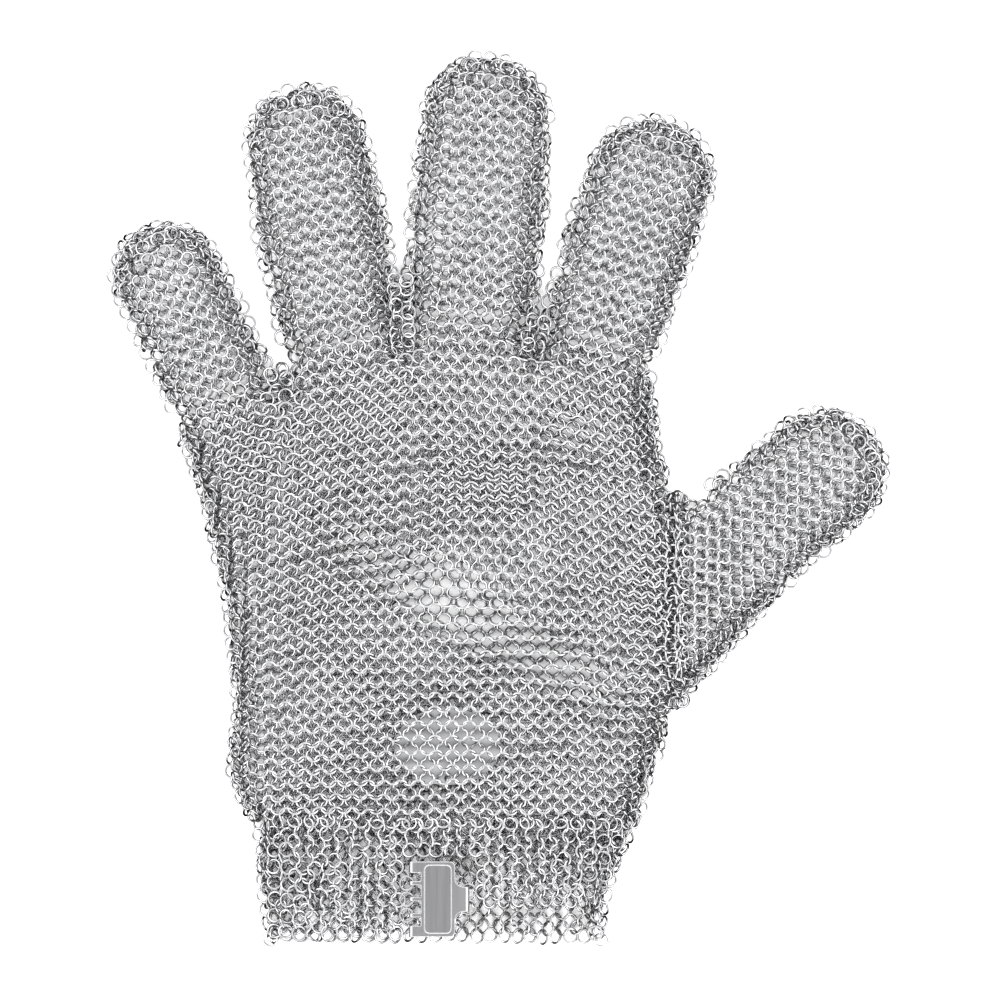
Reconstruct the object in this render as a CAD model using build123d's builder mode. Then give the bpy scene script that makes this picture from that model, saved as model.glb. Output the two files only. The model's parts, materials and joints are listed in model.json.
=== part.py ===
"""Cut resistant glove of linked stainless rings, lying palm side up on its back.

The glove is soft: thousands of welded rings, four through each one. Every run of that mesh is
here a plain closed solid one layer of rings thick, and the folded plate, the size disc and the
rings that hold them have their true shapes. X runs towards the thumb, Y along the middle finger
and Z up from the surface that the glove lies on.
"""

from build123d import *
from math import cos, radians, sin, tan
import os

# Mesh, mm
wire = 0.5
ring_radius = 1.7
ring_pitch = 4.0
wall = 2.3

# The glove as it lies, slightly open; whole is longer than all of it
height = 11.0
edge_slope = 4.5
shoulder = 4.8
gap = 0.3
whole = 300

# Folds
fold_z = 3.5
root_fold = 55
knuckle_fold = 60
thumb_fold = 60
flap_fold = 110
fold_play = 1.5

# Fingers: where the fold at the root is, how far the finger leans to the left, its widths at
# the root and beyond, and how far the knuckle fold and the tip are from the root
fingers = {
    "little": dict(x=-69.2, y=25.2, lean=25.0, root=28.0, width=28.8, knuckle=22.0, tip=48.4),
    "ring_finger": dict(x=-39.3, y=39.6, lean=10.4, root=30.4, width=33.0, knuckle=30.0, tip=66.0),
    "middle": dict(x=-7.5, y=44.0, lean=-4.6, root=31.6, width=34.6, knuckle=31.0, tip=68.4),
    "index": dict(x=25.0, y=37.8, lean=-17.3, root=31.0, width=33.4, knuckle=28.0, tip=61.0),
}
thumb = dict(x=66.0, y=-5.9, lean=-50.0, root=34.4, width=33.6, knuckle=0.0, tip=36.6)

# Hand outline, from the little finger down to the wrist and up again to the index finger
wrist_y = -80.4
hand_little_side = [
    (-82.0, 18.8),
    (-75.5, 0.0),
    (-70.2, -23.0),
    (-67.4, -50.0),
    (-68.9, -69.0),
    (-62.0, -84.0),
]
hand_thumb_side = [(35.4, -84.0), (39.5, -68.0), (43.4, -56.4)]
hand_index_side = [(44.8, 2.2), (41.4, 11.0), (40.4, 22.0), (39.8, 33.1)]
crotches = [(9.2, 39.6), (-23.8, 41.4), (-55.2, 31.2)]
web_length = 8.0
web_width = 3.4

# Thumb root, beyond the seam where it joins the hand
seam_x = 45.0
seam_y = -27.0
seam_length = 59.0
thumb_root_top = [(55.1, 7.2), (50.6, 3.9), (45.2, 2.2)]
thumb_root_bottom = [(43.4, -56.4), (52.5, -45.2), (62.2, -34.0), (76.9, -18.9)]

# Cuff
cuff_end = -112.2
band_end = -110.4
cuff_little_side = [(-62.6, -76.0), (-61.2, -92.0), (-59.0, cuff_end)]
cuff_thumb_side = [(27.0, cuff_end), (27.8, -100.0), (32.6, -88.0), (37.9, -76.0)]
flap_x = -42.0
tab_y = -89.6

# Clasp: one folded plate, with bars across its fold that rings hang on
fold_x = -21.4
plate_right = -11.0
plate_y = -99.9
plate_length = 18.8
plate_gauge = 0.7
fold_outer = 1.1
plate_corner = 1.25
slot_right = -19.5
bar_width = 1.0
end_slot = 2.1
back_leaf_right = -14.0
tongue_width = 6.2
tongue_right = -7.4
tongue_fillet = 2.2
panel_depth = 0.2
panel_inset = 0.9
prong_width = 1.4
prong_depth = 2.5
layer_z = height - wall / 2

# Size disc under the palm side
disc_x = -12.9
disc_y = -61.8
disc_length = 26.4
disc_width = 19.2
disc_gauge = 0.8
disc_top = height - wall - 0.2
disc_hole = 0.8
hanger_radius = 1.5
hanger_inset = 0.45
hole_inset = 1.62

# Where the rings that hold the clasp end, and the mesh beside them starts
link_left = fold_x - 2 * ring_radius - wire / 2
catch_x = tongue_right - plate_gauge / 2 + 0.25
catch_right = catch_x + ring_radius + wire / 2
catch_drop = 0.4

os.makedirs("parts", exist_ok=True)


def write(piece, name):
    """Labels a finished piece and writes it to its own file."""
    piece.label = name
    export_step(piece, f"parts/{name}.step")


def between(piece, low_y, high_y):
    """The part of a piece that lies between two lines across the glove."""
    with BuildPart() as cut:
        add(piece)
        with Locations((0, (low_y + high_y) / 2, height / 2)):
            Box(whole, high_y - low_y, 3 * height, mode=Mode.INTERSECT)
    return cut.part


def inset(points, amount):
    """The points of an open line moved to its left, with each corner mitred."""
    runs = []
    for a, b in zip(points, points[1:]):
        run = Vector(*b) - Vector(*a)
        side = Vector(-run.Y, run.X).normalized() * amount
        runs.append((Vector(*a) + side, run.normalized()))
    moved = [runs[0][0]]
    for (a, u), (b, v) in zip(runs, runs[1:]):
        reach = ((b - a).X * v.Y - (b - a).Y * v.X) / (u.X * v.Y - u.Y * v.X)
        moved.append(a + u * reach)
    end = Vector(*points[-1])
    last, along = runs[-1]
    moved.append(last + along * (end - Vector(*points[-2])).length)
    return [(p.X, p.Y) for p in moved]


def slab(points, low, high):
    """A flat layer of mesh with straight sides."""
    with BuildPart() as layer:
        with BuildSketch(Plane.XY.offset(low)):
            with BuildLine():
                Polyline(*points, close=True)
            make_face()
        extrude(amount=high - low)
    return layer.part


# The section of a folded side: upright at the foot, then sloping in to the palm side
side_profile = [
    (0, wall),
    (wall, wall),
    (wall, shoulder),
    (edge_slope, height - wall),
    (edge_slope, height),
    (0, shoulder),
]


def row_start(path):
    """The plane across the start of a line, with X towards the hand on the line's left."""
    along = path % 0
    return Plane(origin=path @ 0, x_dir=Vector(0, 0, 1).cross(along), z_dir=along)


def side_row(points):
    """The folded side that joins the back to the palm side, along a line with the hand on its left."""
    with BuildPart() as row:
        with BuildLine() as path:
            Polyline(*points)
        with BuildSketch(row_start(path.line)):
            with BuildLine():
                Polyline(*side_profile, close=True)
            make_face()
        sweep(path=path.line, transition=Transition.RIGHT)
    return row.part


def fold_room(angle, across, low=fold_z):
    """A wedge that leaves two segments room to fold up about a line at z = low."""
    play = gap / 2
    opening = (height + 1 - low) * tan(radians(angle / 2 + fold_play)) + play
    with BuildPart() as room:
        with BuildSketch(Plane.YZ):
            with BuildLine():
                Polyline(
                    (-play, -1),
                    (play, -1),
                    (play, low),
                    (opening, height + 1),
                    (-opening, height + 1),
                    (-play, low),
                    close=True,
                )
            make_face()
        extrude(amount=across / 2, both=True)
    return room.part


def place(spec, along=0.0):
    """The plane across a finger: X to its right, Y towards its tip."""
    lean = radians(spec["lean"])
    origin = (spec["x"] - along * sin(lean), spec["y"] + along * cos(lean), 0)
    return Plane(origin=origin, x_dir=(cos(lean), sin(lean), 0), z_dir=(0, 0, 1))


def on_hand(spec, u, v):
    """A point of a finger, u across and v along, in the glove's own X and Y."""
    lean = radians(spec["lean"])
    return (spec["x"] + u * cos(lean) - v * sin(lean), spec["y"] + u * sin(lean) + v * cos(lean))


def finger_base(name, spec, rooms):
    """The lower half of a finger: back, palm side and two side rows."""
    half = spec["width"] / 2
    root = spec["root"] / 2
    far = spec["knuckle"]
    right = [on_hand(spec, root, 0), on_hand(spec, half, far)]
    left = [on_hand(spec, -half, far), on_hand(spec, -root, 0)]
    pieces = {
        "back_side": slab(right + left, 0, wall),
        "palm_side": slab(inset(right, edge_slope) + inset(left, edge_slope), height - wall, height),
        "right_row": side_row(right),
        "left_row": side_row(left),
    }
    for role, piece in pieces.items():
        with BuildPart() as trimmed:
            add(piece)
            for room in rooms:
                add(room, mode=Mode.SUBTRACT)
        write(trimmed.part, f"{name}_base_{role}")


def tip_layer(spec, inward, low, high):
    """One layer of a finger end, straight sided and round at the tip."""
    half = spec["width"] / 2 - inward
    middle = spec["tip"] - spec["width"] / 2
    with BuildPart() as layer:
        with BuildSketch(place(spec).offset(low)):
            with BuildLine():
                Polyline((-half, middle), (-half, spec["knuckle"]), (half, spec["knuckle"]), (half, middle))
                ThreePointArc((half, middle), (0, middle + half), (-half, middle))
            make_face()
        extrude(amount=high - low)
    return layer.part


def tip_row(spec):
    """The closing row round a finger end, from one side over the tip to the other."""
    half = spec["width"] / 2
    middle = spec["tip"] - half
    plane = place(spec)
    with BuildPart() as row:
        with BuildLine(plane) as path:
            Line((half, spec["knuckle"]), (half, middle))
            ThreePointArc((half, middle), (0, middle + half), (-half, middle))
            Line((-half, middle), (-half, spec["knuckle"]))
        with BuildSketch(row_start(path.line)):
            with BuildLine():
                Polyline(*side_profile, close=True)
            make_face()
        sweep(path=path.line)
    return row.part


def finger_tip(name, spec, room):
    """The upper half of a finger: back, palm side and the closing row."""
    pieces = {
        "back_side": tip_layer(spec, 0, 0, wall),
        "palm_side": tip_layer(spec, edge_slope, height - wall, height),
        "closing_row": tip_row(spec),
    }
    for role, piece in pieces.items():
        with BuildPart() as trimmed:
            add(piece)
            add(room, mode=Mode.SUBTRACT)
        write(trimmed.part, f"{name}_tip_{role}")


# Room for every fold
root_rooms = {}
for name, spec in fingers.items():
    root_rooms[name] = place(spec) * fold_room(root_fold, spec["root"] + 2 * gap)
    knuckle_room = place(spec, spec["knuckle"]) * fold_room(knuckle_fold, spec["width"] + 2 * gap)
    finger_base(name, spec, [root_rooms[name], knuckle_room])
    finger_tip(name, spec, knuckle_room)

thumb_room = place(thumb) * fold_room(knuckle_fold, thumb["root"] + 2 * wall)
seam_plane = Plane(origin=(seam_x, seam_y, 0), x_dir=(0, -1, 0), z_dir=(0, 0, 1))
seam_room = seam_plane * fold_room(thumb_fold, seam_length)
finger_tip("thumb", thumb, thumb_room)

# Thumb root, between the seam and the thumb's own fold
thumb_root_layers = {
    "back_side": slab(thumb_root_bottom + thumb_root_top, 0, wall),
    "palm_side": slab(
        inset(thumb_root_bottom, edge_slope) + inset(thumb_root_top, edge_slope), height - wall, height
    ),
    "right_row": side_row(thumb_root_bottom),
    "left_row": side_row(thumb_root_top),
}
for role, piece in thumb_root_layers.items():
    with BuildPart() as thumb_root:
        add(piece)
        add(thumb_room, mode=Mode.SUBTRACT)
        add(seam_room, mode=Mode.SUBTRACT)
        with Locations((seam_x - seam_length / 2, seam_y, height / 2)):
            Box(seam_length, 2 * seam_length, 2 * height, mode=Mode.SUBTRACT)
    write(thumb_root.part, f"thumb_base_{role}")

# Hand: the upper outline runs along the finger folds, from the index finger to the little one
knuckles = []
for name, valley in zip(reversed(fingers), [*crotches, None]):
    spec = fingers[name]
    half = spec["root"] / 2
    knuckles += [on_hand(spec, half, 0), on_hand(spec, -half, 0)]
    if valley:
        knuckles.append(valley)

with BuildPart() as back_panel:
    back_layer = slab(hand_little_side + hand_thumb_side + hand_index_side + knuckles[1:-1], 0, wall)
    add(between(back_layer, wrist_y, fingers["middle"]["y"] + 5))
    add(seam_room, mode=Mode.SUBTRACT)
    for room in root_rooms.values():
        add(room, mode=Mode.SUBTRACT)
write(back_panel.part, "back_panel")

palm_layer = slab(
    inset(hand_little_side, edge_slope)
    + inset(hand_thumb_side, edge_slope)
    + inset(hand_index_side, edge_slope)
    + knuckles[1:-1],
    height - wall,
    height,
)
with BuildPart() as palm_panel:
    add(between(palm_layer, wrist_y, fingers["middle"]["y"] + 5))
    with BuildSketch(Plane.XY.offset(height - wall)):
        with Locations(((link_left + catch_right) / 2, (wrist_y + tab_y) / 2)):
            Rectangle(catch_right - link_left, wrist_y - tab_y)
    extrude(amount=wall)
    add(seam_room, mode=Mode.SUBTRACT)
    for room in root_rooms.values():
        add(room, mode=Mode.SUBTRACT)
write(palm_panel.part, "palm_panel")

for name, points in {
    "little_side_row": hand_little_side,
    "wrist_thumb_row": hand_thumb_side,
    "index_side_row": hand_index_side,
}.items():
    with BuildPart() as hand_row:
        add(between(side_row(points), wrist_y, fingers["middle"]["y"]))
        add(seam_room, mode=Mode.SUBTRACT)
        for room in root_rooms.values():
            add(room, mode=Mode.SUBTRACT)
    write(hand_row.part, name)

# Webs between the fingers, where the back is joined to the palm side
for name, (x, y) in zip(["middle_index_web", "ring_middle_web", "little_ring_web"], crotches):
    with BuildPart() as web:
        with BuildSketch(Plane.XY.offset(wall)):
            with Locations((x, y - web_length / 2)):
                SlotOverall(web_length, web_width, rotation=90)
        extrude(amount=height - 2 * wall)
        for room in root_rooms.values():
            add(room, mode=Mode.SUBTRACT)
    write(web.part, name)

# Cuff
cuff_top = wrist_y - gap
write(between(slab(cuff_little_side + cuff_thumb_side, 0, wall), cuff_end, cuff_top), "cuff_back_band")
write(between(side_row(cuff_little_side), cuff_end, cuff_top), "cuff_little_row")
write(between(side_row(cuff_thumb_side), cuff_end, cuff_top), "cuff_thumb_row")

flap_plane = Plane(origin=(flap_x, (cuff_top + cuff_end) / 2, 0), x_dir=(0, -1, 0), z_dir=(0, 0, 1))
flap_room = flap_plane * fold_room(flap_fold, cuff_top - cuff_end + 2 * gap, low=layer_z)
flap_corners = [(flap_x, cuff_end), (flap_x, 0)]
band_left = catch_right + gap

with BuildPart() as cuff_left_band:
    left_layer = slab(inset(cuff_little_side, edge_slope) + flap_corners, height - wall, height)
    add(between(left_layer, band_end, cuff_top))
    add(flap_room, mode=Mode.SUBTRACT)
write(cuff_left_band.part, "cuff_left_band")

with BuildPart() as cuff_flap:
    with BuildSketch(Plane.XY.offset(height - wall)):
        with Locations(((flap_x + link_left - gap) / 2, (cuff_top + band_end) / 2)):
            Rectangle(link_left - gap - flap_x, cuff_top - band_end)
    extrude(amount=wall)
    add(flap_room, mode=Mode.SUBTRACT)
write(cuff_flap.part, "cuff_flap")

right_corners = [(band_left, 0), (band_left, cuff_end)]
right_layer = slab(inset(cuff_thumb_side, edge_slope) + right_corners, height - wall, height)
write(between(right_layer, band_end, cuff_top), "cuff_right_band")

# Clasp plate: a strip folded back under itself, with slots across the fold for the link rings
# and a shallow panel pressed into its face
plate_top = plate_y + plate_length / 2
tongue_top = plate_y + tongue_width / 2
bend_x = tongue_right - fold_outer
fold_inner = fold_outer - plate_gauge
with BuildPart() as clasp_plate:
    with BuildSketch(Plane.XZ.offset(-plate_top)):
        with BuildLine():
            Line((fold_x, layer_z + fold_inner), (plate_right, layer_z + fold_inner))
            Line((plate_right, layer_z + fold_inner), (plate_right, layer_z + fold_outer))
            Line((plate_right, layer_z + fold_outer), (fold_x, layer_z + fold_outer))
            ThreePointArc(
                (fold_x, layer_z + fold_outer), (fold_x - fold_outer, layer_z), (fold_x, layer_z - fold_outer)
            )
            Line((fold_x, layer_z - fold_outer), (back_leaf_right, layer_z - fold_outer))
            Line((back_leaf_right, layer_z - fold_outer), (back_leaf_right, layer_z - fold_inner))
            Line((back_leaf_right, layer_z - fold_inner), (fold_x, layer_z - fold_inner))
            ThreePointArc(
                (fold_x, layer_z - fold_inner), (fold_x - fold_inner, layer_z), (fold_x, layer_z + fold_inner)
            )
        make_face()
    extrude(amount=plate_length)
    fillet(clasp_plate.edges().filter_by(Axis.Z).group_by(Axis.X)[-1], plate_corner)
    with BuildSketch(Plane.XY.offset(layer_z + fold_inner)):
        with BuildLine():
            Line((plate_right, tongue_top + tongue_fillet), (plate_right, plate_y))
            Line((plate_right, plate_y), (bend_x, plate_y))
            Line((bend_x, plate_y), (bend_x, tongue_top))
            Line((bend_x, tongue_top), (plate_right + tongue_fillet, tongue_top))
            RadiusArc(
                (plate_right + tongue_fillet, tongue_top),
                (plate_right, tongue_top + tongue_fillet),
                tongue_fillet,
            )
        make_face()
        mirror(about=Plane.XZ.offset(-plate_y))
    extrude(amount=plate_gauge)
    with BuildSketch(Plane.XZ.offset(-tongue_top)):
        with BuildLine():
            Line((bend_x, layer_z + fold_inner), (bend_x, layer_z + fold_outer))
            ThreePointArc(
                (bend_x, layer_z + fold_outer),
                (bend_x + fold_outer * cos(radians(45)), layer_z + fold_outer * sin(radians(45))),
                (tongue_right, layer_z),
            )
            Line((tongue_right, layer_z), (tongue_right - plate_gauge, layer_z))
            ThreePointArc(
                (tongue_right - plate_gauge, layer_z),
                (bend_x + fold_inner * cos(radians(45)), layer_z + fold_inner * sin(radians(45))),
                (bend_x, layer_z + fold_inner),
            )
        make_face()
    extrude(amount=tongue_width)
    with BuildSketch(Plane.XY.offset(layer_z)):
        with Locations(*[(tongue_right - plate_gauge / 2, plate_y + k * ring_pitch / 2) for k in (-1, 1)]):
            Rectangle(plate_gauge, prong_width)
    extrude(amount=fold_outer - prong_depth)
    slot_height = ring_pitch - bar_width
    slots = [(plate_y + k * ring_pitch / 2, slot_height) for k in (-1, 1)]
    slots += [(plate_y + k * (1.5 * ring_pitch - (slot_height - end_slot) / 2), end_slot) for k in (-1, 1)]
    for slot_y, slot_size in slots:
        with BuildSketch(Plane.XY.offset(layer_z - 2 * fold_outer)):
            with Locations(((fold_x - 2 * fold_outer + slot_right) / 2, slot_y)):
                Rectangle(slot_right - fold_x + 2 * fold_outer, slot_size)
        extrude(amount=4 * fold_outer, mode=Mode.SUBTRACT)
    with BuildSketch(Plane.XY.offset(layer_z + fold_outer)):
        with Locations(((slot_right + plate_right) / 2, plate_y)):
            panel_width = plate_right - slot_right - 2 * panel_inset
            RectangleRounded(panel_width, plate_length - 2 * panel_inset, plate_corner)
    extrude(amount=-panel_depth, mode=Mode.SUBTRACT)
write(clasp_plate.part, "clasp_plate")


# Rings through the fold, and rings that the prongs drop into, all lying flat
with BuildPart() as clasp_link_rings:
    with Locations(*[(fold_x - ring_radius, plate_y + k * ring_pitch, layer_z) for k in (-1, 0, 1)]):
        Torus(ring_radius, wire / 2)
write(clasp_link_rings.part, "clasp_link_rings")

with BuildPart() as clasp_catch_rings:
    with Locations(*[(catch_x, plate_y + k * ring_pitch / 2, layer_z - catch_drop) for k in (-1, 1)]):
        Torus(ring_radius, wire / 2)
write(clasp_catch_rings.part, "clasp_catch_rings")

# Size disc, hung from the palm side by two small rings
hanger_offset = disc_width / 2 - hanger_inset
hole_offset = disc_width / 2 - hole_inset
with BuildPart() as size_disc:
    with BuildSketch(Plane.XY.offset(disc_top - disc_gauge)):
        with Locations((disc_x, disc_y)):
            Ellipse(disc_length / 2, disc_width / 2)
        with Locations(*[(disc_x, disc_y + k * hole_offset) for k in (-1, 1)]):
            Circle(disc_hole, mode=Mode.SUBTRACT)
    extrude(amount=disc_gauge)
write(size_disc.part, "size_disc")

with BuildPart() as disc_hangers:
    with Locations(*[Location((disc_x, disc_y + k * hanger_offset, disc_top), (0, 90, 0)) for k in (-1, 1)]):
        Torus(hanger_radius, wire / 2)
write(disc_hangers.part, "disc_hangers")
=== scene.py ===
"""Ring mesh glove, palm side up: every ring of the mesh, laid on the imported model's frame.

Plan sizes here are in millimetres in the frame's X and Y; meshes are written in metres.
"""

import json
import math

import bpy
import numpy as np
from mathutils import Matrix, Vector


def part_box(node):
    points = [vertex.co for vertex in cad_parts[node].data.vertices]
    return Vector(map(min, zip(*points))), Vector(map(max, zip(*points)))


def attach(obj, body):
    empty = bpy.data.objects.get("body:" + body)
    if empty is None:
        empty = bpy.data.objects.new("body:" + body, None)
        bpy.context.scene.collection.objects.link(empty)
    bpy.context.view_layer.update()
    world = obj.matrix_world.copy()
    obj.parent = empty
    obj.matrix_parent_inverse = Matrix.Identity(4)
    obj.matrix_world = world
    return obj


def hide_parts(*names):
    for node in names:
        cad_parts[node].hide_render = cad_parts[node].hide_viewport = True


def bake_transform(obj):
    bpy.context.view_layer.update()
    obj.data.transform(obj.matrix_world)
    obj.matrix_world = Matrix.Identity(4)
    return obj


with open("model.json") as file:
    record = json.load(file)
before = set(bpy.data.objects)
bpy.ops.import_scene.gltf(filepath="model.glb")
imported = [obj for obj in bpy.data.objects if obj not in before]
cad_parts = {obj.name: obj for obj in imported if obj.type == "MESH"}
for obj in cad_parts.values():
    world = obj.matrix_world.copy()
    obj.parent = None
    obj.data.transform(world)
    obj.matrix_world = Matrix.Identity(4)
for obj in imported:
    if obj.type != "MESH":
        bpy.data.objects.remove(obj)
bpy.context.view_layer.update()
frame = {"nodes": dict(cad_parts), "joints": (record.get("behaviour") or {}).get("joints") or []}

MM = 0.001
RING = 1.75  # middle of the wire to the ring's centre
WIRE = 0.3  # half the wire's thickness
PITCH = 4.15  # between rings of one row
ROW = 1.84  # between rows
LEAN = 27.0  # how far the rings of a row lean, one row up and the next down, degrees
OPEN_LEAN = 9.0  # how much further they lean where one sees through both layers
EDGE = 2.0  # an edge ring's centre is this far in from the outline
FOLD_Z = 2.7  # the height at which the mesh turns over at an edge
PALM_SHOULDER = 9.0  # how far in from an edge ring the palm side is level
BACK_SHOULDER = 5.0  # and the back
LOOSE = 0.22  # how far the palm side rises and sinks as it lies loosely
SEAM_VALLEY = 2.2  # how deep it sinks along the thumb's seam
GAP_PULL = 1.4  # how far each side of a gap between two fingers leans into it

joints = {j["name"]: j for j in frame["joints"]}
rng = np.random.default_rng(20)


def middle_z(node):
    """The height of the middle of a CAD layer, in mm."""
    low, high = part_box(node)
    return (low.z + high.z) / 2 / MM


TOP_Z = middle_z("palm_panel")
BACK_Z = middle_z("back_panel")


def smooth(t):
    """0 to 1 with a soft start and end."""
    t = np.clip(t, 0, 1)
    return t * t * (3 - 2 * t)


def unit(v):
    """Each vector at length 1."""
    return v / np.maximum(np.linalg.norm(v, axis=-1, keepdims=True), 1e-12)


# The frame's outline, read from the CAD layers that lie on the floor


def floor_edges(*names):
    """The plan ends of the mesh edges that lie on the floor in these CAD nodes."""
    found = []
    for name in names:
        mesh = frame["nodes"][name].data
        points = np.zeros(len(mesh.vertices) * 3)
        mesh.vertices.foreach_get("co", points)
        points = points.reshape(-1, 3) / MM
        ends = np.zeros(len(mesh.edges) * 2, int)
        mesh.edges.foreach_get("vertices", ends)
        pairs = points[ends.reshape(-1, 2)]
        found.append(pairs[pairs[:, :, 2].max(axis=1) < 0.05][:, :, :2])
    return np.concatenate(found)


def spans(edges, levels):
    """The lowest and highest first coordinate of the edges at each level of the second."""
    rows = []
    for level in levels:
        a, b = edges[:, 0], edges[:, 1]
        over = (a[:, 1] - level) * (b[:, 1] - level) < 0
        if over.any():
            a, b = a[over], b[over]
            at = a[:, 0] + (b[:, 0] - a[:, 0]) * (level - a[:, 1]) / (b[:, 1] - a[:, 1])
            rows.append((level, at.min(), at.max()))
    return np.array(rows).T


class Finger:
    """A finger's own plan frame: u across it, v along it from its fold. Its columns of rings are
    count spaces wide, from the hand's column first."""

    def __init__(self, name, fold, first, count):
        self.name, self.first, self.count = name, first, count
        self.centre = first + count / 2
        joint = joints[fold]
        self.origin = np.array(joint["pos_m"][:2]) / MM
        self.across = np.array(joint["axis"][:2], float)
        self.along = np.array([-self.across[1], self.across[0]])
        tip = self.local(floor_edges(f"{name}_tip_back_side"))
        self.half = tip[..., 0].max()
        self.tip = tip[..., 1].max()
        self.middle = self.tip - self.half
        base = self.local(floor_edges(f"{name}_base_back_side"))
        self.levels, self.left, self.right = spans(base, np.arange(-60.3, 40, 1.0))
        knuckle = joints[f"{name}_knuckle_fold"]["pos_m"][:2]
        self.knuckle = self.local(np.array(knuckle) / MM)[1]

    def local(self, p):
        d = p - self.origin
        return np.stack([d @ self.across, d @ self.along], axis=-1)

    def place(self, u, v):
        return self.origin + np.multiply.outer(u, self.across) + np.multiply.outer(v, self.along)

    def root_half(self):
        """Half the width at the fold, which on the thumb is the top of its base."""
        level = -1 if self.name == "thumb" else 0
        return (self.right[level] - self.left[level]) / 2

    def width(self, v):
        """Half the width at v, where the finger is straight."""
        return np.interp(v, [0, max(self.knuckle, 1)], [self.root_half(), self.half])

    def pitch(self, v):
        """Between the rings of one row at v."""
        return 2 * (self.width(v) - EDGE) / self.count

    def depth(self, p):
        """How far inside the finger's outline each point is."""
        u, v = np.moveaxis(self.local(p), -1, 0)
        straight = self.width(v) - np.abs(u)
        return np.where(v > self.middle, self.half - np.hypot(u, v - self.middle), straight)


FINGERS = [
    Finger("little", "little_root_fold", 0, 6),
    Finger("ring_finger", "ring_finger_root_fold", 7, 7),
    Finger("middle", "middle_root_fold", 15, 7),
    Finger("index", "index_root_fold", 23, 7),
]
thumb = Finger("thumb", "thumb_knuckle_fold", -3.5, 7)
BETWEEN_FINGERS = np.array([finger.first + finger.count + 0.5 for finger in FINGERS[:-1]])

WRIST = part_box("cuff_back_band")[1].y / MM
CUFF_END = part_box("cuff_back_band")[0].y / MM
SEAM = joints["thumb_seam_fold"]["pos_m"][0] / MM
hand_y, hand_left, hand_right = spans(
    floor_edges("back_panel", "cuff_back_band"), np.arange(CUFF_END + 0.4, 60, 1.0)
)
seam_edges = floor_edges("thumb_base_back_side").reshape(-1, 2)
seam_edges = seam_edges[seam_edges[:, 0] < SEAM + 0.5]
SEAM_LOW, SEAM_HIGH = seam_edges[:, 1].min(), seam_edges[:, 1].max()
crotches = []
for web in ("little_ring_web", "ring_middle_web", "middle_index_web"):
    low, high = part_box(web)
    crotches.append(((low.x + high.x) / 2 / MM, high.y / MM))
top_line = [tuple(FINGERS[0].place(-FINGERS[0].root_half(), 0))]
top_line += crotches
top_line += [tuple(FINGERS[-1].place(FINGERS[-1].root_half(), 0))]
top_x, top_y = np.array(top_line).T


def hand_depth(p):
    """How far inside the hand's outline, which is open at the thumb and at each finger's root."""
    x, y = p[..., 0], p[..., 1]
    left = x - np.interp(y, hand_y, hand_left)
    corners = np.minimum(np.hypot(x - SEAM, y - SEAM_LOW), np.hypot(x - SEAM, y - SEAM_HIGH))
    open_side = (y > SEAM_LOW) & (y < SEAM_HIGH)
    right = np.where(open_side, corners, np.interp(y, hand_y, hand_right) - x)
    top = np.min([np.hypot(x - cx, y - cy) for cx, cy in crotches], axis=0)
    inside = np.minimum(np.minimum(left, right), top)
    return np.where((x > SEAM) | (y > np.interp(x, top_x, top_y)), -1.0, inside)


def thumb_depth(p):
    """How far inside the thumb's outline, beyond its seam with the hand."""
    u, v = np.moveaxis(thumb.local(p), -1, 0)
    corner = thumb.local(np.array([SEAM, SEAM_HIGH]))
    left = u - np.interp(v, thumb.levels, thumb.left)
    left = np.where(v < corner[1], np.hypot(u - corner[0], v - corner[1]), left)
    right = np.interp(v, thumb.levels, thumb.right) - u
    below = np.minimum(left, right)
    tip = thumb.depth(p)
    depth = np.where(v < 0, below, tip)
    return np.where(p[..., 0] < SEAM, -1.0, depth)


def depth(p):
    """How far inside the glove's outline each plan point is."""
    found = np.maximum(hand_depth(p), thumb_depth(p))
    for finger in FINGERS:
        v = finger.local(p)[..., 1]
        found = np.maximum(found, np.where(v > -9, finger.depth(p), -1.0))
    return found


# How the mesh lies


def waves(p, size, seed):
    """A smooth field of about -1 to 1 whose bumps are about size across."""
    draw = np.random.default_rng(seed)
    total = 0
    for _ in range(6):
        angle, phase = draw.uniform(0, 2 * math.pi, 2)
        length = size * draw.uniform(0.7, 1.8)
        along = p[..., 0] * math.cos(angle) + p[..., 1] * math.sin(angle)
        total = total + np.sin(2 * math.pi * along / length + phase)
    return total / 3


def rounded_over(p, shoulder):
    """0 at the edge rings, 1 where the mesh is level."""
    return np.sin(math.pi / 2 * np.clip((depth(p) - EDGE) / shoulder, 0, 1))


def front_height(p):
    x, y = p[..., 0], p[..., 1]
    beside = smooth((y - SEAM_LOW) / 6) * smooth((SEAM_HIGH - y) / 6)
    valley = SEAM_VALLEY * beside * np.exp(-(((x - SEAM + 2) / 3.2) ** 2))
    level = FOLD_Z + (TOP_Z - FOLD_Z) * rounded_over(p, PALM_SHOULDER)
    return level + LOOSE * waves(p, 17, 5) - valley


def back_height(p):
    return FOLD_Z + (BACK_Z - FOLD_Z) * rounded_over(p, BACK_SHOULDER)


def clear_of_floor(z, facing):
    """Heights at which a ring facing this way doesn't dip below the floor."""
    return np.maximum(z, RING * np.sqrt(1 - facing[:, 2] ** 2) + 1.2 * WIRE + 0.02)


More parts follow.
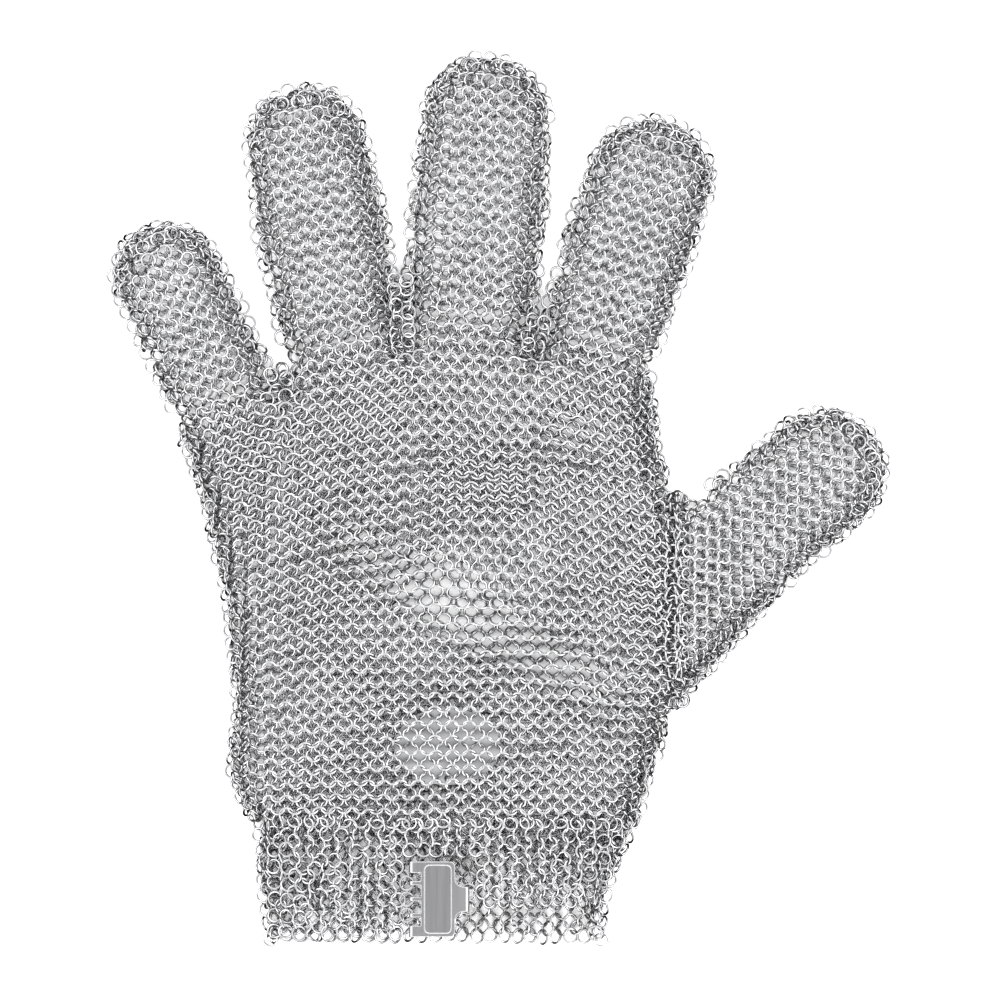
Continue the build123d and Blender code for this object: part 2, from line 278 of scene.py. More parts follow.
def lay(p, row, side, height, lean=LEAN, wobble=6.0):
    """Ring centres and normals for plan points on a layer: row is the plan direction of each
    ring's row, and side is 1 or -1 as its row leans one way or the other."""
    step = 0.8
    z = height(p)
    slope_x = (height(p + [step, 0]) - height(p - [step, 0])) / (2 * step)
    slope_y = (height(p + [0, step]) - height(p - [0, step])) / (2 * step)
    normal = unit(np.stack([-slope_x, -slope_y, np.ones_like(z)], axis=-1))
    climb = slope_x * row[:, 0] + slope_y * row[:, 1]
    row3 = unit(np.column_stack([row, climb]))
    column = np.cross(normal, row3)
    tilt = np.radians(lean * side + rng.normal(0, wobble, len(p)))[:, None]
    roll = np.radians(rng.normal(0, wobble, len(p)))[:, None]
    facing = unit(np.cos(tilt) * normal + np.sin(tilt) * column + np.sin(roll) * row3)
    return np.column_stack([p, clear_of_floor(z, facing)]), facing


pieces = {}


def keep(piece, centres, facings):
    """Adds rings to a named piece."""
    pieces.setdefault(piece, []).append((centres, facings))


# Hand: rows from the wrist to the finger roots, columns continuing into the fingers
ROWS = 68
BLEND_ROWS = 16  # the last rows, in which the columns turn into the fingers' directions
FINGER_ROWS = 3  # and those that belong to the fingers
FIRST_COLUMN, LAST_COLUMN = -5, 36


def finger_of(a):
    """Which finger each column runs into."""
    return np.searchsorted(BETWEEN_FINGERS + 0.25, a)


def root_of(a):
    """Plan point, and the finger's direction, where each column meets its finger's root."""
    index = finger_of(a)
    point, along = np.zeros((len(a), 2)), np.zeros((len(a), 2))
    for k, finger in enumerate(FINGERS):
        mine = index == k
        u = (a[mine] - finger.centre) * finger.pitch(0)
        point[mine] = finger.place(u, np.zeros_like(u))
        along[mine] = finger.along
    return point, along


# The Y of the last row, smoothed over the steps from one finger's root to the next
SMOOTH_STEPS = 8
root_columns = np.arange(-6, 38, 0.5)
spread = np.exp(-0.5 * (np.arange(-SMOOTH_STEPS, SMOOTH_STEPS + 1) / 4.0) ** 2)
padded = np.pad(root_of(root_columns)[0][:, 1], SMOOTH_STEPS, mode="reflect", reflect_type="odd")
root_line = np.convolve(padded, spread / spread.sum(), mode="valid")

MIDDLE_COLUMN = 18.5
MIDDLE_X = -7.5
CROWDED_FROM = 28  # the first of the columns that are crowded beside the thumb's seam
CROWDING = 0.7


def wrist_x(a):
    """The column's X at the wrist: even, and closer beside the thumb's seam."""
    even = MIDDLE_X + (a - MIDDLE_COLUMN) * PITCH
    beyond = np.maximum(a - CROWDED_FROM, 0)
    return even - CROWDING * beyond


def column_point(a, b):
    """Plan point of column a in row b: straight up the palm, then along the column's finger."""
    root, along = root_of(a)
    t = b / ROWS
    root_y = np.interp(a, root_columns, root_line)
    step = (root_y - WRIST) / ROWS
    x = wrist_x(a) + (root[:, 0] - wrist_x(a)) * smooth(t) * t
    y = WRIST + (root_y - WRIST) * t
    palm = np.column_stack([x, y])
    ahead = root + along * ((b - ROWS) * step)[:, None]
    share = smooth((b - ROWS + BLEND_ROWS) / BLEND_ROWS)[:, None]
    return palm + (ahead - palm) * share


def hand_point(a, b):
    """Plan point of column a in row b; the columns between two fingers run midway."""
    midway = np.isin(a, BETWEEN_FINGERS)
    whole = column_point(a, b)
    sides = (column_point(a - 0.5, b) + column_point(a + 0.5, b)) / 2
    return np.where(midway[:, None], sides, whole)


# Spots where the mesh is bunched up, or pulled open where the pull is negative: x, y, size, pull
SPOTS = ((0, 5, 11, 0.3), (36, -26, 9, 0.12), (-45, -75, 12, 0.1), (-13, -24, 12, -0.16))


def gathered(p):
    """The mesh drawn toward the spots, more along the columns than across them."""
    moved = p.copy()
    for x, y, size, pull in SPOTS:
        d = p - [x, y]
        fade = np.exp(-0.5 * (d**2).sum(axis=1) / size**2)[:, None]
        moved -= pull * d * fade * [0.3, 1]
    return moved


def drift(p, seed, amount):
    """How far each ring has slipped from its even place, with its neighbours."""
    fade = smooth((depth(p) - EDGE) / 5)
    shift = np.column_stack([waves(p, 26, seed), waves(p, 26, seed + 1)])
    return amount * shift * fade[:, None]


def drawn_shut(p):
    """The mesh leans into the gaps between the fingers from both sides."""
    moved = np.zeros_like(p)
    for crotch, left, right in zip(crotches, FINGERS, FINGERS[1:]):
        up = unit(left.along + right.along)
        out = np.array([up[1], -up[0]])
        rise, aside = (p - crotch) @ up, (p - crotch) @ out
        fade = smooth((rise + 6) / 8) * smooth((52 - rise) / 24) * np.exp(-((aside / 13) ** 2))
        inward = -np.sign(aside) * (1 - np.exp(-np.abs(aside)))
        moved += (GAP_PULL * fade * inward)[:, None] * out
    return p + moved


BAND_POINT = np.array([-6.0, -30.0])
BAND_ACROSS = np.array([0.507, 0.862])
BAND_HALF = 7.5
BAND_REACH = 46.0
PATCH = np.array([16.5, 17.0])
PATCH_HALF = 7.5


def see_through(p):
    """1 along the slanting band across the palm and on a patch below the index finger, where
    the holes of both layers meet, and 0 away from them."""
    off = (p - BAND_POINT) @ BAND_ACROSS
    along = (p - BAND_POINT) @ [BAND_ACROSS[1], -BAND_ACROSS[0]]
    band = np.exp(-((off / BAND_HALF) ** 4)) * np.exp(-((along / BAND_REACH) ** 4))
    patch = np.exp(-((((p - PATCH) ** 2).sum(axis=1) / PATCH_HALF**2) ** 2))
    return np.maximum(band, patch)


def back_shift(p):
    """How far the back's rings are out of step with the palm side's."""
    fade = smooth((depth(p) - EDGE) / 6)
    return ((1 - see_through(p)) * fade)[:, None] * np.array([PITCH / 2, 0.2])


def clear_of_edge(p, even):
    """Whether a lattice ring leaves room for the edge rings."""
    return depth(p) > np.where(even, EDGE + 1.3, EDGE + 0.5)


def hand_lattice():
    """The palm and the back, in three parts each, and the lowest rows of the fingers."""
    columns, rows = [], []
    for b in range(ROWS):
        a = np.arange(FIRST_COLUMN, LAST_COLUMN) + (0.5 if b % 2 else 0.0)
        columns.append(a)
        rows.append(np.full(len(a), b, float))
    a, b = np.concatenate(columns), np.concatenate(rows)
    p = hand_point(a, b)
    right = hand_point(a + 0.1, b)
    row = unit(right - hand_point(a - 0.1, b))
    row = np.where(np.abs(row[:, 1:]) > 0.75, np.array([[1.0, 0.0]]), row)
    even = b % 2 == 0
    inside = clear_of_edge(p, even) & (p[:, 0] < SEAM - 0.9)
    a, b, p, row, even = a[inside], b[inside], p[inside], row[inside], even[inside]
    side = np.where(even, 1.0, -1.0)
    owner = finger_of(a)
    top = b >= ROWS - FINGER_ROWS
    lean = LEAN + OPEN_LEAN * see_through(p)
    front = drawn_shut(gathered(p + drift(p, 40, 0.35)))
    back = front + drift(p, 60, 0.12) + back_shift(p)
    back = back + rng.normal(0, 0.1, back.shape)
    for layer, q, height in (("palm", front, front_height), ("back", back, back_height)):
        centres, facings = lay(q, row, side, height, lean)
        for k, finger in enumerate(FINGERS):
            mine = top & (owner == k)
            keep(f"{finger.name}_base_mesh", centres[mine], facings[mine])
        third = np.minimum(3 * b // ROWS, 2).astype(int)
        for k, part in enumerate(("wrist", "middle", "knuckle")):
            mine = ~top & (third == k)
            keep(f"{layer}_{part}_mesh", centres[mine], facings[mine])


def edge_rings(p, outward, tip, rise=0.0, wobble=18.0):
    """Rings where the mesh turns over, tipped about the edge's own direction."""
    count = len(p)
    z = np.full(count, FOLD_Z + rise) + rng.normal(0, 0.3, count)
    tipped = np.radians(rng.normal(tip, wobble, count))[:, None]
    turned = np.radians(rng.normal(0, wobble, count))[:, None]
    out3 = np.column_stack([outward, np.zeros(count)])
    side3 = np.column_stack([-outward[:, 1], outward[:, 0], np.zeros(count)])
    up = np.array([[0, 0, 1.0]])
    facing = unit(up * np.cos(tipped) + out3 * np.sin(tipped) + side3 * np.sin(turned))
    moved = p + rng.normal(0, 0.18, p.shape) - outward * np.abs(rng.normal(0, 0.3, (count, 1)))
    return np.column_stack([moved, clear_of_floor(z, facing)]), facing


def keep_edge(piece, p, outward):
    """An edge row along these plan points, and the two rows just inside that hold it."""
    keep(piece, *edge_rings(p + 0.4 * outward, outward, 32))
    halfway = (p[1:] + p[:-1]) / 2
    side = unit(outward[1:] + outward[:-1])
    near = np.linalg.norm(p[1:] - p[:-1], axis=1) < 3.5 * ROW
    keep(piece, *edge_rings((halfway - 1.1 * side)[near], side[near], -36, 0.9))
    keep(piece, *edge_rings((halfway - 0.5 * side)[near], side[near], 54, -0.6))


def hand_edges():
    """Edge rings on every second row, along the little finger's side and the thumb's side."""
    found = {"little_side_edge": [], "thumb_side_edge": []}
    for b in range(0, ROWS, 2):
        a = np.arange(FIRST_COLUMN, LAST_COLUMN, 0.1)
        p = hand_point(a, np.full(len(a), float(b)))
        left = p[:, 0] - np.interp(p[:, 1], hand_y, hand_left)
        k = int(np.argmax(left > EDGE))
        found["little_side_edge"].append((*p[k], -1.0, 0.0))
        right = np.interp(p[:, 1], hand_y, hand_right) - p[:, 0]
        k = len(a) - 1 - int(np.argmax(right[::-1] > EDGE))
        if not SEAM_LOW - 1 < p[k, 1] < SEAM_HIGH + 1:
            found["thumb_side_edge"].append((*p[k], 1.0, 0.0))
    for piece, rows in found.items():
        rows = np.array(rows)
        keep_edge(piece, rows[:, :2], rows[:, 2:])


# How far up each gap its web of rings climbs, and the finger whose base piece holds the web
WEBS = ((1, "ring_finger"), (14, "ring_finger"), (5, "index"))


def web_rings():
    """Two columns of rings, one above the other, that close each gap between two fingers."""
    for crotch, (climb, owner), left, right in zip(crotches, WEBS, FINGERS, FINGERS[1:]):
        up = unit(left.along + right.along)
        out = np.array([up[1], -up[0]])
        for offset, tip in ((-1.5, 28), (1.5, -28)):
            far = np.arange(-3.5, climb, 2.1)[:, None]
            p = np.array(crotch) + far * up + offset * out
            for rise in (0.6, 3.2):
                keep(f"{owner}_base_mesh", *edge_rings(p, np.tile(out, (len(p), 1)), tip, rise))


def finger_points(finger, first_row, columns_of):
    """Plan points of a finger's panels with their v, and which belong to even rows. columns_of
    gives the columns of each row, counted from the finger's middle."""
    columns, levels = [], []
    for k in range(first_row, int((finger.tip - EDGE) / ROW) + 1):
        a = columns_of(k)
        columns.append(a)
        levels.append(np.full(len(a), k * ROW))
    a, v = np.concatenate(columns), np.concatenate(levels)
    p = finger.place(a * finger.pitch(v), v)
    even = np.round(v / ROW).astype(int) % 2 == 0
    return p, v, even


def finger_lattice(finger):
    """Both sides of a finger, in a base and a tip."""

    def columns_of(k):
        a = np.arange(finger.count + 1.0) if k % 2 == 0 else np.arange(finger.count) + 0.5
        return a - finger.count / 2

    p, v, even = finger_points(finger, 0, columns_of)
    inside = clear_of_edge(p, even)
    p, v, even = p[inside], v[inside], even[inside]
    row = np.tile(finger.across, (len(p), 1))
    side = np.where(even, 1.0, -1.0)
    split = (finger.knuckle + 8) / 2
    seed = 100 + 10 * int(finger.centre)
    off = np.stack([finger.across, finger.along])
    shift = np.column_stack([0.5 * PITCH + 0.4 * waves(p, 22, seed), 0.4 * waves(p, 22, seed + 1)])
    fade = smooth((depth(p) - EDGE) / 6)[:, None] * smooth(v / 8)[:, None]
    front = drawn_shut(p + drift(p, seed + 2, 0.3))
    back = drawn_shut(p + (shift @ off) * fade)
    for q, height in ((front, front_height), (back, back_height)):
        centres, facings = lay(q, row, side, height)
        for part, mine in (("base", v < split), ("tip", v >= split)):
            keep(f"{finger.name}_{part}_mesh", centres[mine], facings[mine])
    finger_edges(finger, split)


END_INNER = 0.86  # the inner arc of end rings, as a share of the outer arc's radius


def finger_edges(finger, split):
    """Edge rings up one side on every second row, over the rounded end and down the other."""
    side = np.arange(2 * ROW, finger.middle, 2 * ROW)
    half = finger.width(side) - EDGE
    radius = finger.half - EDGE
    count = round(math.pi * radius / (2 * ROW))
    around = (np.arange(count) + 0.5) * math.pi / count
    u = np.concatenate([half, radius * np.cos(around), -half[::-1]])
    v = np.concatenate([side, finger.middle + radius * np.sin(around), side[::-1]])
    local_out = np.column_stack([u, np.maximum(v - finger.middle, 0)])
    outward = unit(local_out) @ np.stack([finger.across, finger.along])
    p = drawn_shut(finger.place(u, v))
    low = np.flatnonzero(v < split)
    right, left = low[low < len(v) / 2], low[low > len(v) / 2]
    keep_edge(f"{finger.name}_base_mesh", p[right], outward[right])
    keep_edge(f"{finger.name}_base_mesh", p[left], outward[left])
    upper = slice(len(right), len(v) - len(left))
    keep_edge(f"{finger.name}_tip_mesh", p[upper], outward[upper])
    closer = END_INNER * radius
    inner = finger.place(closer * np.cos(around), finger.middle + closer * np.sin(around))
    arc = slice(len(half), len(half) + count)
    keep(f"{finger.name}_tip_mesh", *edge_rings(inner, outward[arc], 10, 2.2, 32))


THUMB_SPLIT = -5.0  # where the thumb's base ends and its tip begins
THUMB_FIRST_ROW = -32


def thumb_lattice():
    """Both sides of the thumb beyond its seam, in a base and a tip."""
    p, v, even = finger_points(
        thumb, THUMB_FIRST_ROW, lambda k: np.arange(-12, 13) + (0.5 if k % 2 == 0 else 0.0)
    )
    inside = clear_of_edge(p, even) & (p[:, 0] > SEAM + 0.5)
    p, v, even = p[inside], v[inside], even[inside]
    row = np.tile(thumb.across, (len(p), 1))
    side = np.where(even, 1.0, -1.0)
    off = np.stack([thumb.across, thumb.along])
    shift = np.column_stack([0.5 * PITCH + 0.5 * waves(p, 22, 301), 0.4 * waves(p, 22, 302)])
    fade = smooth((depth(p) - EDGE) / 6)[:, None]
    front = p + drift(p, 303, 0.3)
    back = p + (shift @ off) * fade
    for q, height in ((front, front_height), (back, back_height)):
        centres, facings = lay(q, row, side, height)
        for part, mine in (("base", v < THUMB_SPLIT), ("tip", v >= THUMB_SPLIT)):
            keep(f"thumb_{part}_mesh", centres[mine], facings[mine])
    thumb_edges()


def thumb_edges():
    """The thumb's end and its two sides, down to the seam."""
    finger_edges(thumb, THUMB_SPLIT)
    v = np.arange(-26, 1) * 2 * ROW
    right = np.interp(v, thumb.levels, thumb.right) - EDGE
    left = np.interp(v, thumb.levels, thumb.left) + EDGE
    corner = thumb.local(np.array([SEAM, SEAM_HIGH]))[1]
    for u, out, ok in ((right, 1.0, v < 0.5), (left, -1.0, (v > corner) & (v < 0.5))):
        p = thumb.place(u, v)
        ok = ok & (p[:, 0] > SEAM)
        for part, mine in (("base", ok & (v < THUMB_SPLIT)), ("tip", ok & (v >= THUMB_SPLIT))):
            if mine.sum() > 1:
                outward = np.tile(thumb.across * out, (mine.sum(), 1))
                keep_edge(f"thumb_{part}_mesh", p[mine], outward)


def seam_rings():
    """The crowded columns of rings that join the thumb's tube to the hand."""
    for x, turn in ((SEAM - 2.2, -50), (SEAM - 0.6, 55), (SEAM + 0.8, -45)):
        y = np.arange(SEAM_LOW + 3, SEAM_HIGH - 1, 2.3) + rng.uniform(0, 1)
        p = np.column_stack([np.full(len(y), x), y]) + rng.normal(0, 0.25, (len(y), 2))
        row = np.tile([0.0, 1.0], (len(p), 1))
        side = np.full(len(p), math.copysign(1, turn))
        for height in (front_height, back_height):
            keep("thumb_base_mesh", *lay(p, row, side, height, lean=abs(turn), wobble=16))


# Cuff: the same mesh turned through a right angle
CUFF_PITCH = 4.1
CUFF_ROW = 1.68
CUFF_LEAN = 32.0


def cuff_points(low_x, high_x, low_y, high_y):
    """Plan points of rings in upright rows, and which belong to even rows."""
    points, even = [], []
    count = int((high_x - low_x) / CUFF_ROW)
    for k in range(count + 1):
        offset = CUFF_PITCH / 2 if k % 2 else 0.0
        y = np.arange(high_y - 1.9 - offset, low_y + 1.8, -CUFF_PITCH)
        points.append(np.column_stack([np.full(len(y), low_x + k * CUFF_ROW), y]))
        even.append(np.full(len(y), k % 2 == 0))
    return np.concatenate(points), np.concatenate(even)


def cuff_layer(piece, area, height, seed, along=0.0, wobble=11):
    """One layer of the cuff's rings, slipped along its rows and ruffled."""
    p, even = cuff_points(*area)
    p = p + [0.0, along]
    inside = (depth(p) > EDGE + 1.0) & (p[:, 1] > area[2] + 1.9)
    p, even = p[inside], even[inside]
    p = p + drift(p, seed, 0.45) + rng.normal(0, 0.12, p.shape)
    row = np.tile([0.0, 1.0], (len(p), 1))
    keep(piece, *lay(p, row, np.where(even, 1.0, -1.0), height, CUFF_LEAN, wobble))


def between(p):
    """The height of mesh that is pushed up inside the cuff."""
    return 0.55 * front_height(p) + 0.45 * back_height(p) - 0.4


def cuff():
    """The cuff's back, its left part, flap and right part, and its two edges."""
    left, right = hand_left[hand_y < WRIST].min() + 1, hand_right[hand_y < WRIST].max()
    flap_low, flap_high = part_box("cuff_flap")
    flap_start, flap_end = flap_low.x / MM, flap_high.x / MM
    plate_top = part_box("clasp_plate")[1].y / MM
    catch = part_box("cuff_right_band")[0].x / MM
    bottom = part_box("cuff_left_band")[0].y / MM
    top = WRIST + 1
    half = -CUFF_PITCH / 2
    cuff_layer("cuff_back_mesh", (left, right, CUFF_END, WRIST + 2), back_height, 400, half)
    cuff_layer("cuff_left_mesh", (left, flap_start, bottom, top), front_height, 402, wobble=16)
    cuff_layer("cuff_left_mesh", (left, flap_start, bottom + 6, top), between, 403, half / 2, 20)
    cuff_layer("cuff_flap_mesh", (flap_start + 1, flap_end, bottom, top), front_height, 404, wobble=14)
    cuff_layer("palm_wrist_mesh", (flap_end + 1.2, catch, plate_top, top), front_height, 406)
    cuff_layer("palm_wrist_mesh", (left, right, WRIST - 5, WRIST + 3), between, 407, half / 2, 20)
    cuff_layer("cuff_right_mesh", (catch + 1.2, right, bottom + 8, top), front_height, 408)
    cuff_layer("cuff_right_mesh", (catch + 9, right, bottom + 14, top), between, 409, half / 2, 16)
    for side, found, out in (("left", hand_left, -1.0), ("right", hand_right, 1.0)):
        y = np.arange(CUFF_END + 2.2, WRIST, 2 * ROW)
        p = np.column_stack([np.interp(y, hand_y, found) - out * EDGE, y])
        keep_edge(f"cuff_{side}_mesh", p, np.tile([out, 0.0], (len(p), 1)))


# Meshes


def ring_template(around=20, through=6):
    """One ring about Z, a little thicker where its ends are welded."""
    a = np.arange(around) * 2 * math.pi / around
    t = np.arange(through) * 2 * math.pi / through
    weld = 1 + 0.18 * np.exp(-((np.minimum(a, 2 * math.pi - a) / 0.25) ** 2))
    out = RING + WIRE * weld[:, None] * np.cos(t)
    up = WIRE * weld[:, None] * np.sin(t)
    points = np.stack([out * np.cos(a)[:, None], out * np.sin(a)[:, None], up], axis=-1)
    i, j = np.meshgrid(np.arange(around), np.arange(through), indexing="ij")
    ahead, over = (i + 1) % around, (j + 1) % through
    faces = np.stack([i * through + j, ahead * through + j, ahead * through + over, i * through + over])
    return points.reshape(-1, 3), faces.reshape(4, -1).T


RING_POINTS, RING_FACES = ring_template()


def ring_object(name, centres, facings):
    count = len(centres)
    spin = rng.uniform(0, 2 * math.pi, count)[:, None]
    helper = np.where(np.abs(facings[:, :1]) < 0.9, [[1.0, 0, 0]], [[0, 1.0, 0]])
    a = unit(np.cross(facings, helper))
    b = np.cross(facings, a)
    x_axis = np.cos(spin) * a + np.sin(spin) * b
    y_axis = np.cross(facings, x_axis)
    axes = np.stack([x_axis, y_axis, facings], axis=2)
    points = np.einsum("nij,kj->nki", axes, RING_POINTS) + centres[:, None]
    faces = RING_FACES[None] + (np.arange(count) * len(RING_POINTS))[:, None, None]
    mesh = bpy.data.meshes.new(name)
    mesh.vertices.add(count * len(RING_POINTS))
    mesh.vertices.foreach_set("co", (points * MM).astype(np.float32).ravel())
    total = count * len(RING_FACES)
    mesh.loops.add(total * 4)
    mesh.loops.foreach_set("vertex_index", faces.astype(np.int32).ravel())
    mesh.polygons.add(total)
    mesh.polygons.foreach_set("loop_start", np.arange(0, total * 4, 4, dtype=np.int32))
    mesh.update(calc_edges=True)
    mesh.validate()
    mesh.polygons.foreach_set("use_smooth", np.ones(total, bool))
    obj = bpy.data.objects.new(name, mesh)
    bpy.context.scene.collection.objects.link(obj)
    return obj


# Materials


def material(name, roughness, metallic=1.0):
    made = bpy.data.materials.new(name)
    made.use_nodes = True
    shader = made.node_tree.nodes["Principled BSDF"]
    shader.inputs["Roughness"].default_value = roughness
    shader.inputs["Metallic"].default_value = metallic
    return made, made.node_tree, shader


def ramp(tree, value, start, end, low, high, eased=False):
    """Takes a value that runs from start to end to one that runs from low to high."""
    node = tree.nodes.new("ShaderNodeMapRange")
    if eased:
        node.interpolation_type = "SMOOTHSTEP"
    for socket, number in (("From Min", start), ("From Max", end), ("To Min", low), ("To Max", high)):
        node.inputs[socket].default_value = number
    tree.links.new(value, node.inputs["Value"])
    return node.outputs["Result"]


def joined(tree, operation, first, second):
    """Two values added or multiplied."""
    node = tree.nodes.new("ShaderNodeMath")
    node.operation = operation
    tree.links.new(first, node.inputs[0])
    tree.links.new(second, node.inputs[1])
    return node.outputs["Value"]


def mottle(tree, scale, low, high, stretch=(1, 1, 1), detail=3.0):
    """A noise over the piece's own coordinates that runs from low to high."""
    where = tree.nodes.new("ShaderNodeTexCoord")
    place = tree.nodes.new("ShaderNodeMapping")
    place.inputs["Scale"].default_value = stretch
    noise = tree.nodes.new("ShaderNodeTexNoise")
    noise.inputs["Scale"].default_value = scale
    noise.inputs["Detail"].default_value = detail
    tree.links.new(where.outputs["Object"], place.inputs["Vector"])
    tree.links.new(place.outputs["Vector"], noise.inputs["Vector"])
    return ramp(tree, noise.outputs["Fac"], 0.3, 0.7, low, high)


def grain(tree, scale, low, high):
    """A mottle drawn out into fine lines along the clasp plate."""
    return mottle(tree, scale, low, high, (6, 0.1, 1), 1.0)


def grey(tree, value):
    """The faintly blue grey of stainless steel at this lightness."""
    colour = tree.nodes.new("ShaderNodeCombineColor")
    tree.links.new(value, colour.inputs["Red"])
    tree.links.new(value, colour.inputs["Green"])
    cool = tree.nodes.new("ShaderNodeMath")
    cool.operation = "MULTIPLY"
    cool.inputs[1].default_value = 1.02
    tree.links.new(value, cool.inputs[0])
    tree.links.new(cool.outputs["Value"], colour.inputs["Blue"])
    return colour.outputs["Color"]


def drawn_wire():
    """Bright drawn wire: each stretch of it a little lighter, darker or duller than the next."""
    made, tree, shader = material("wire_steel", 0.14)
    tree.links.new(grey(tree, mottle(tree, 700, 0.28, 0.38)), shader.inputs["Base Color"])
    tree.links.new(mottle(tree, 1500, 0.09, 0.2), shader.inputs["Roughness"])
    return made


def pressed_sheet():
    """Satin sheet with a fine grain along the plate, worn brighter on its rounded edges."""
    made, tree, shader = material("plate_steel", 0.36)
    shape = tree.nodes.new("ShaderNodeNewGeometry")
    wear = ramp(tree, shape.outputs["Pointiness"], 0.52, 0.7, 0.0, 0.06)
    lightness = joined(tree, "ADD", grain(tree, 900, 0.294, 0.306), wear)
    tree.links.new(grey(tree, lightness), shader.inputs["Base Color"])
    tree.links.new(grain(tree, 500, 0.34, 0.38), shader.inputs["Roughness"])
    bump = tree.nodes.new("ShaderNodeBump")
    bump.inputs["Strength"].default_value = 0.04
    bump.inputs["Distance"].default_value = 0.00005
    tree.links.new(grain(tree, 1400, 0.0, 1.0), bump.inputs["Height"])
    rounded = tree.nodes.new("ShaderNodeBevel")
    rounded.samples = 8
    rounded.inputs["Radius"].default_value = 0.0004
    tree.links.new(rounded.outputs["Normal"], bump.inputs["Normal"])
    tree.links.new(bump.outputs["Normal"], shader.inputs["Normal"])
    return made


def pale_disc():
    """The disc's pale satin face, slightly clouded by handling."""
    made, tree, shader = material("disc_metal", 0.5, 0.3)
    tree.links.new(grey(tree, mottle(tree, 160, 0.35, 0.42)), shader.inputs["Base Color"])
    tree.links.new(mottle(tree, 600, 0.42, 0.58), shader.inputs["Roughness"])
    return made


wire_steel = drawn_wire()
plate_steel = pressed_sheet()
disc_metal = pale_disc()


# The pieces, and the CAD bodies and nodes that they go with

made = {}
ring_count = {}


def build():
    """Lays every ring, then makes one object of each piece's rings."""
    hand_lattice()
    hand_edges()
    for finger in FINGERS:
        finger_lattice(finger)
    web_rings()
    thumb_lattice()
    seam_rings()
    cuff()
    for name, parts in pieces.items():
        centres = np.concatenate([c for c, f in parts])
        facings = np.concatenate([f for c, f in parts])
        made[name] = ring_object(name, centres, facings)
        made[name].data.materials.append(wire_steel)
        ring_count[name] = len(centres)


BLEND_BEFORE = 5.0  # the near point of a fold's span lies this far before the fold
BLEND_AFTER = 11.0


def fold_point(finger, v):
    """The point in metres at v along a finger's middle, at the height of its folds."""
    p = finger.place(0.0, v) * MM
    return (p[0], p[1], joints[f"{finger.name}_knuckle_fold"]["pos_m"][2])


def stands_for(prefix, parts):
    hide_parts(*[f"{prefix}_{part}" for part in parts])


BASE_PARTS = ("back_side", "palm_side", "left_row", "right_row")
TIP_PARTS = ("back_side", "palm_side", "closing_row")


def join_finger(finger):
    name = finger.name
    base, tip = made[f"{name}_base_mesh"], made[f"{name}_tip_mesh"]
    near, far = fold_point(finger, -BLEND_BEFORE), fold_point(finger, BLEND_AFTER)
    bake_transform(base)
    near = fold_point(finger, finger.knuckle - BLEND_BEFORE)
    far = fold_point(finger, finger.knuckle + BLEND_AFTER)
    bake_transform(tip)
    stands_for(f"{name}_base", BASE_PARTS)
    stands_for(f"{name}_tip", TIP_PARTS)


def join_thumb():
    _, seam_y, seam_z = joints["thumb_seam_fold"]["pos_m"]
    base, tip = made["thumb_base_mesh"], made["thumb_tip_mesh"]
    near, far = ((SEAM - 4) * MM, seam_y, seam_z), ((SEAM + 7) * MM, seam_y, seam_z)
    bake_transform(base)
    near, far = fold_point(thumb, -BLEND_BEFORE), fold_point(thumb, BLEND_AFTER)
    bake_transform(tip)
    stands_for("thumb_base", BASE_PARTS)
    stands_for("thumb_tip", TIP_PARTS)


def join_flap():
    flap = made["cuff_flap_mesh"]
    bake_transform(flap)
    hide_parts("cuff_flap")


# The pieces that ride on the hand, and the CAD nodes that each stands for
HAND_NODES = {
    "palm_wrist_mesh": ["palm_panel"],
    "palm_middle_mesh": [],
    "palm_knuckle_mesh": ["middle_index_web", "ring_middle_web", "little_ring_web"],
    "back_wrist_mesh": ["back_panel"],
    "back_middle_mesh": [],
    "back_knuckle_mesh": [],
    "little_side_edge": ["little_side_row"],
    "thumb_side_edge": ["wrist_thumb_row", "index_side_row"],
    "cuff_back_mesh": ["cuff_back_band"],
    "cuff_left_mesh": ["cuff_left_band", "cuff_little_row"],
    "cuff_right_mesh": ["cuff_right_band", "cuff_thumb_row"],
}


def join_hand():
    for name, nodes in HAND_NODES.items():
        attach(made[name], "hand")
        if nodes:
            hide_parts(*nodes)


FITTINGS = {
    "clasp_plate": plate_steel,
    "size_disc": disc_metal,
    "clasp_link_rings": wire_steel,
    "clasp_catch_rings": wire_steel,
    "disc_hangers": wire_steel,
}


def finish_fittings():
    """The CAD nodes that stay get their real finishes."""
    for node, finish in FITTINGS.items():
        mesh = frame["nodes"][node].data
        mesh.materials.clear()
        mesh.materials.append(finish)


# Each piece of mesh as the flat strip of rings that it was made as: how it is held, what it lies on
SHEETS = {
    "back_wrist_mesh": ("laid", ["floor"]),
    "back_middle_mesh": ("laid", ["floor"]),
    "back_knuckle_mesh": ("laid", ["floor"]),
    "palm_wrist_mesh": ("laid", ["size_disc", "back_wrist_mesh"]),
    "palm_middle_mesh": ("laid", ["back_middle_mesh"]),
    "palm_knuckle_mesh": ("laid", ["back_knuckle_mesh"]),
    "cuff_back_mesh": ("laid", ["floor"]),
    "cuff_left_mesh": ("laid", ["cuff_back_mesh"]),
    "cuff_flap_mesh": ("folded", ["cuff_back_mesh"]),
    "cuff_right_mesh": ("laid", ["cuff_back_mesh"]),
    "thumb_base_mesh": ("folded", ["floor"]),
    "thumb_tip_mesh": ("folded", ["floor"]),
}
for finger in FINGERS:
    SHEETS[f"{finger.name}_base_mesh"] = ("folded", ["floor"])
    SHEETS[f"{finger.name}_tip_mesh"] = ("folded", ["floor"])


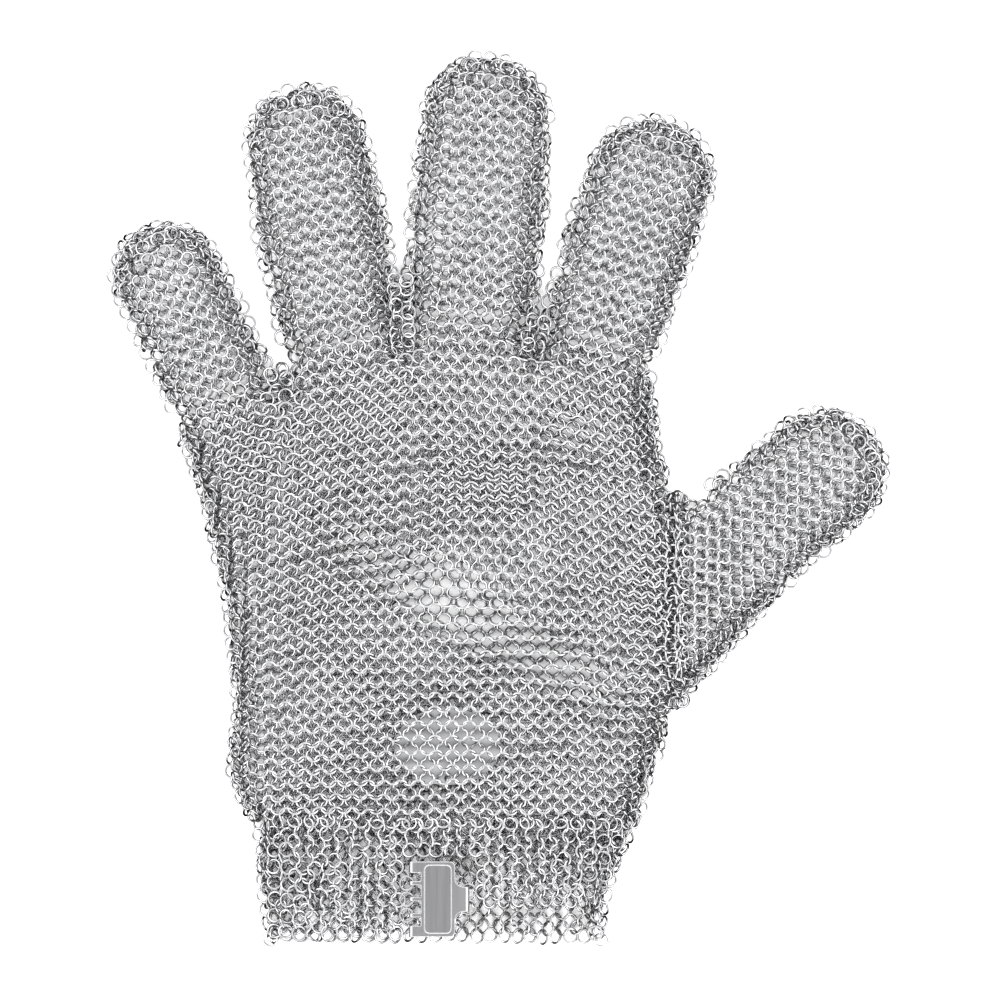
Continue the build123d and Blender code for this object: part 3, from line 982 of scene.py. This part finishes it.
def flat_size(name):
    """Width and length in metres of the strip that this many rings make, as long as the piece."""
    points = np.zeros(len(made[name].data.vertices) * 3)
    made[name].data.vertices.foreach_get("co", points)
    plan = points.reshape(-1, 3)[:, :2]
    direction = np.linalg.eigh(np.cov(plan.T))[1][:, 1]
    reach = plan @ direction
    length = float(reach.max() - reach.min())
    return ring_count[name] * PITCH * ROW * MM * MM / length, length


def declare_sheets():
    for name, (held, rests_on) in SHEETS.items():
        flat_size(name)


# Floor, light and camera


def add_floor():
    """Plain pale paper just under the glove, which isn't mirrored in the wires."""
    bpy.ops.mesh.primitive_plane_add(size=4, location=(0, 0, -0.00005))
    floor = bpy.context.object
    floor.name = "floor"
    paper, _, shader = material("floor_paint", 0.9, 0.0)
    shader.inputs["Base Color"].default_value = (0.9, 0.9, 0.9, 1)
    shader.inputs["Emission Color"].default_value = (1, 1, 1, 1)
    shader.inputs["Emission Strength"].default_value = 0.2
    floor.data.materials.append(paper)
    floor.visible_glossy = False


def add_light(scene):
    """A soft white dome, dark at the horizon and again straight overhead."""
    scene.world = bpy.data.worlds.new("studio")
    scene.world.use_nodes = True
    tree = scene.world.node_tree
    sky = tree.nodes["Background"]
    direction = tree.nodes.new("ShaderNodeTexCoord")
    parts = tree.nodes.new("ShaderNodeSeparateXYZ")
    tree.links.new(direction.outputs["Generated"], parts.inputs["Vector"])
    height = parts.outputs["Z"]
    dome = ramp(tree, height, 0.05, 0.35, 0.02, 4.7, eased=True)
    zenith = ramp(tree, height, 0.75, 0.94, 1.0, 0.1, eased=True)
    tree.links.new(joined(tree, "MULTIPLY", dome, zenith), sky.inputs["Strength"])
    sky.inputs["Color"].default_value = (1, 1, 1, 1)


FRAME_WIDTH = 0.25  # what the picture spans at the glove's middle height, in metres


def add_camera(scene):
    """A long lens, straight above the glove."""
    lens = bpy.data.cameras.new("camera")
    lens.lens = 500
    distance = FRAME_WIDTH * lens.lens / lens.sensor_width
    camera = bpy.data.objects.new("camera", lens)
    camera.location = (0.00025, -0.00025, distance + TOP_Z * MM / 2)
    scene.collection.objects.link(camera)
    scene.camera = camera
    scene.view_settings.view_transform = "Standard"


build()
for finger in FINGERS:
    join_finger(finger)
join_thumb()
join_flap()
join_hand()
finish_fittings()
add_floor()
declare_sheets()
add_light(bpy.context.scene)
add_camera(bpy.context.scene)
